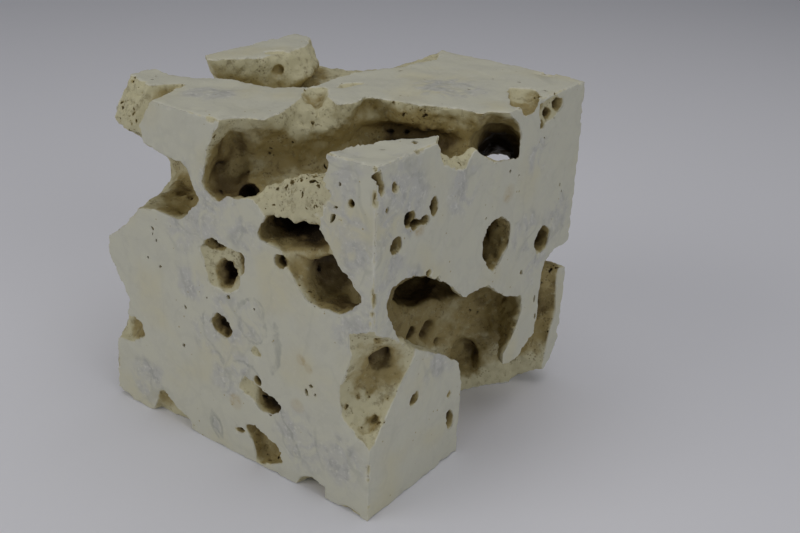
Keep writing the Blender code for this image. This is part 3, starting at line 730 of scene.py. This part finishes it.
def near(x, y, z, radius):
    """1 inside a soft, ragged ball round a spot given in millimetres, 0 outside it."""
    gap = vectors("DISTANCE", place.outputs["Object"], from_corner(x, y, z)).outputs["Value"]
    ragged = maths("MULTIPLY_ADD", edge_noise, radius * 1.1 * MM, gap)
    inner = between(ragged, radius * 1.15 * MM, radius * 1.75 * MM)
    return maths("SUBTRACT", 1.0, inner)


def any_of(shares):
    """The largest of several shares."""
    whole = shares[0]
    for share in shares[1:]:
        whole = maths("MAXIMUM", whole, share)
    return whole


def oval(u, v, wide, high, turn):
    """Millimetres from an oval's outline on the front face, less than 0 inside it."""
    move = nodes.new("ShaderNodeMapping")
    move.vector_type = "TEXTURE"
    move.inputs["Location"].default_value = from_corner(u, 0, v)
    move.inputs["Rotation"].default_value = (0, math.radians(turn), 0)
    move.inputs["Scale"].default_value = (wide * MM, GHOST_DEPTH * MM, high * MM)
    links.new(place.outputs["Object"], move.inputs["Vector"])
    size = vectors("LENGTH", move.outputs["Vector"]).outputs["Value"]
    away = maths("MULTIPLY_ADD", edge_noise, 1.1, maths("SUBTRACT", size, 1.55))
    return maths("MULTIPLY", away, min(wide, high))


def vein(half_width, *spots):
    """1 along a broken line on the front face, 0 a little way from it."""
    shares = []
    for (u, v), (next_u, next_v) in zip(spots, spots[1:]):
        start = from_corner(u, 0, v)
        step = from_corner(next_u, 0, next_v) - start
        gone = vectors("SUBTRACT", wavering, start).outputs["Vector"]
        share = vectors("DOT_PRODUCT", gone, step / step.length_squared).outputs["Value"]
        share = maths("MAXIMUM", 0.0, maths("MINIMUM", 1.0, share))
        along = nodes.new("ShaderNodeVectorMath")
        along.operation = "SCALE"
        along.inputs[0].default_value = step
        links.new(share, along.inputs["Scale"])
        gap = vectors("DISTANCE", gone, along.outputs["Vector"]).outputs["Value"]
        shares.append(maths("SUBTRACT", 1.0, between(gap, 0.5 * half_width * MM, 1.6 * half_width * MM)))
    return any_of(shares)


# Sawn faces: cream, with warm patches, and a mottled grey crust in bands round the hollows.
edge_noise = grain(11, 3, 0.6, shift=(0.4, 0.2, 0.7))
stain = grain(13, 4, 0.6, shift=(0.2, 0.6, 0.1))
crusted = any_of([near(*zone) for zone in CRUST_ZONES])
ghosts = [oval(*ghost) for ghost in GHOSTS]
filled = any_of([maths("SUBTRACT", 1.0, between(ghost, -2.5, 0.0)) for ghost in ghosts])
crusted = maths("MAXIMUM", crusted, filled)
cloud_field = grain(13, 4, 0.60, shift=(0.3, 0.1, 0.2), warp=0.9)
cloud = between(cloud_field, 0.34, 0.62)
outline = maths("ABSOLUTE", maths("SUBTRACT", grain(36, 2, 0.5, warp=0.3), 0.50))
outline = maths("SUBTRACT", 1.0, between(outline, 0.004, 0.026))
outline = maths("MULTIPLY", outline, maths("MULTIPLY_ADD", crusted, 0.24, 0.08))
ripples = nodes.new("ShaderNodeTexNoise")
ripples.inputs["Scale"].default_value = 1000.0 / WAVER_SIZE
ripples.inputs["Detail"].default_value = 3
links.new(place.outputs["Object"], ripples.inputs["Vector"])
waver = vectors("SUBTRACT", ripples.outputs["Color"], Vector((0.5, 0.5, 0.5)))
waver = vectors("MULTIPLY", waver.outputs["Vector"], WAVER_REACH)
wavering = vectors("ADD", waver.outputs["Vector"], place.outputs["Object"]).outputs["Vector"]
lines = [maths("SUBTRACT", 1.0, between(maths("ABSOLUTE", ghost), 0.4, 1.4)) for ghost in ghosts]
lines = any_of(lines + [vein(*spots) for spots in VEINS])
lines = maths("MULTIPLY", lines, between(cloud_field, 0.30, 0.75))
outline = maths("MAXIMUM", outline, lines)
crusted = maths("MULTIPLY_ADD", crusted, 0.78, 0.22)
crusted = maths("MULTIPLY", crusted, cloud)
speck = between(grain(5.4, 4, 0.62, warp=0.3), 0.46, 0.70)
white = between(grain(3.2, 4, 0.65, shift=(0.5, 0.9, 0.2)), 0.52, 0.68)
crust = mixed(maths("MULTIPLY", speck, 0.58), CRUST, CRUST_GREY)
crust = mixed(maths("MULTIPLY", white, 0.60), crust, CRUST_WHITE)
warm = between(grain(42, 2, 0.5, shift=(0.15, 0.45, 0.3)), 0.48, 0.72)
sawn = mixed(maths("MULTIPLY", warm, 0.75), CREAM, YELLOW)
sawn = mixed(crusted, sawn, crust)
sawn = mixed(outline, sawn, OUTLINE)
rusty = any_of([near(*zone) for zone in RUSTY])
rusty = maths("MULTIPLY", rusty, maths("MULTIPLY_ADD", speck, 0.4, 0.25))
sawn = mixed(rusty, sawn, RUST)
pin_width = between(grain(23, 2, 0.5, shift=(0.6, 0.6, 0.1)), 0.46, 0.68)
pin = maths("SUBTRACT", maths("MULTIPLY", pin_width, 0.13), cells(PIN_SPACING))
pin = between(pin, 0.0, 0.04)
sawn = mixed(maths("MULTIPLY", pin, 0.8), sawn, OCHRE)

# Hollows: pale at the rim and where they lie open, ochre further in, then brown to near black, as brown
# stains and as painted shade where the walls are closed in.
fine = grain(1.6, 2, 0.6, shift=(0.1, 0.3, 0.8))
wander = maths("MULTIPLY_ADD", stain, 0.34, maths("MULTIPLY_ADD", fine, 0.10, -0.22))
# Painted shade: the more closed in a wall is, the browner and darker it is painted, on top of its stains.
stain_and_shade = maths("ADD", occlusion_shade, wander)
# Brown stain and painted shade in the deepest hollows push these walls further towards brown.
stained_and_shaded = any_of([near(*zone) for zone in BROWN_STAIN_AND_SHADE])
stain_and_shade = maths("MULTIPLY_ADD", stained_and_shaded, 0.22, stain_and_shade)
hollow = mixed(between(stain_and_shade, 0.16, 0.44), PALE, OCHRE)
fleck = between(grain(3.6, 4, 0.70, shift=(0.7, 0.2, 0.5)), 0.54, 0.68)
smudge = between(grain(5.0, 4, 0.70, shift=(0.2, 0.8, 0.6)), 0.53, 0.68)
hollow = mixed(maths("MULTIPLY", fleck, 0.35), hollow, PALE)
hollow = mixed(maths("MULTIPLY", smudge, 0.40), hollow, BROWN)
hollow = mixed(between(stain_and_shade, 0.52, 0.80), hollow, BROWN)
hollow = mixed(between(stain_and_shade, 0.78, 0.95), hollow, DEEP_SHADE)
bare = maths("MULTIPLY_ADD", stain, 2.0, deep)
# The pale rim colour shows only where the wall is shallow, open and outside the darkened zones, so it
# doesn't cover the painted shade.
inner = any_of([between(bare, 1.1, 2.1), between(occlusion_shade, 0.34, 0.52), maths("MULTIPLY", stained_and_shaded, 0.8)])
hollow = mixed(inner, RIM, hollow)
# Painted shade in the finest pores: brown dots stand for pores too fine for the mesh, and they also sink
# the bump.
pore_width = maths("MULTIPLY_ADD", between(grain(12, 3, 0.6), 0.46, 0.64), 0.34, 0.04)
pore = maths("SUBTRACT", pore_width, cells(PORE_SPACING))
pore = between(pore, 0.0, 0.10)
hollow = mixed(maths("MULTIPLY", pore, 0.5), hollow, BROWN)
colour = mixed(between(deep, 0.15, 0.6), sawn, hollow)
links.new(colour, shader.inputs["Base Color"])

# The fine grain of the stone, finer than its skin.
relief = maths("MULTIPLY_ADD", fine, 0.5, maths("MULTIPLY", pore, -1.0))
relief = maths("MULTIPLY_ADD", fleck, 0.6, maths("MULTIPLY_ADD", smudge, -0.8, relief))
relief = maths("MULTIPLY", relief, between(deep, 0.2, 1.5))
relief = maths("MULTIPLY_ADD", speck, -0.18, relief)
bump = nodes.new("ShaderNodeBump")
bump.inputs["Strength"].default_value = 0.6
bump.inputs["Distance"].default_value = 0.5 * MM
links.new(relief, bump.inputs["Height"])
links.new(bump.outputs["Normal"], shader.inputs["Normal"])

block.data.materials.clear()
block.data.materials.append(stone)
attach(block, "root")
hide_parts("limestone_block")


# The floor is a plain pale sheet that runs out of view.
FLOOR_SIZE = 8
FLOOR_GAP = 0.0002
bpy.ops.mesh.primitive_plane_add(size=FLOOR_SIZE, location=(0, 0, -FLOOR_GAP))
floor = bpy.context.object
floor.name = "floor"
paper = bpy.data.materials.new("pale floor")
paper.use_nodes = True
paper_shader = paper.node_tree.nodes["Principled BSDF"]
paper_shader.inputs["Base Color"].default_value = (0.80, 0.80, 0.85, 1)
paper_shader.inputs["Roughness"].default_value = 0.8
floor.data.materials.append(paper)
floor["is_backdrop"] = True


# Soft studio light: a wide lamp overhead, one from the front left and one from the right.
def soft_lamp(name, place_at, aim, size, watts, colour):
    """A square lamp that looks at a point."""
    data = bpy.data.lights.new(name, "AREA")
    data.shape = "SQUARE"
    data.size = size
    data.energy = watts
    data.color = colour
    lamp = bpy.data.objects.new(name, data)
    bpy.context.scene.collection.objects.link(lamp)
    lamp.location = place_at
    lamp.rotation_euler = (Vector(aim) - Vector(place_at)).to_track_quat("-Z", "Y").to_euler()


soft_lamp("overhead", (0.1, 0.2, 1.6), (0, 0, 0.1), 1.6, 8.2, (1.0, 0.98, 0.95))
soft_lamp("front left", (-0.9, -1.6, 0.9), (0, 0, 0.1), 1.4, 10.4, (1.0, 0.99, 0.97))
soft_lamp("right", (1.8, -0.5, 0.9), (0, 0, 0.1), 1.4, 7.8, (0.97, 0.98, 1.0))
world = bpy.data.worlds.new("studio")
bpy.context.scene.world = world
world.use_nodes = True
world.node_tree.nodes["Background"].inputs["Color"].default_value = (0.80, 0.83, 0.90, 1)
world.node_tree.nodes["Background"].inputs["Strength"].default_value = 0.14
bpy.context.scene.view_settings.view_transform = "Standard"

# The camera looks down on the front right corner, as the photograph does. Its place, way and
# tilt are those that the cube's edges have in the photograph.
CAMERA_AT = (0.37771, -0.46164, 0.36703)
CAMERA_WAY = Vector((-0.53117641, 0.73087883, -0.42856477))
CAMERA_TILT = -2.1955
CAMERA_LENS = 48.14
lens = bpy.data.cameras.new("camera")
lens.sensor_width = 36.0
lens.lens = CAMERA_LENS
camera = bpy.data.objects.new("camera", lens)
bpy.context.scene.collection.objects.link(camera)
camera.location = CAMERA_AT
aim = CAMERA_WAY.to_track_quat("-Z", "Y").to_matrix()
tilt = Matrix.Rotation(math.radians(CAMERA_TILT), 3, CAMERA_WAY)
camera.rotation_euler = (tilt @ aim).to_euler()
bpy.context.scene.camera = camera

low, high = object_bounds()
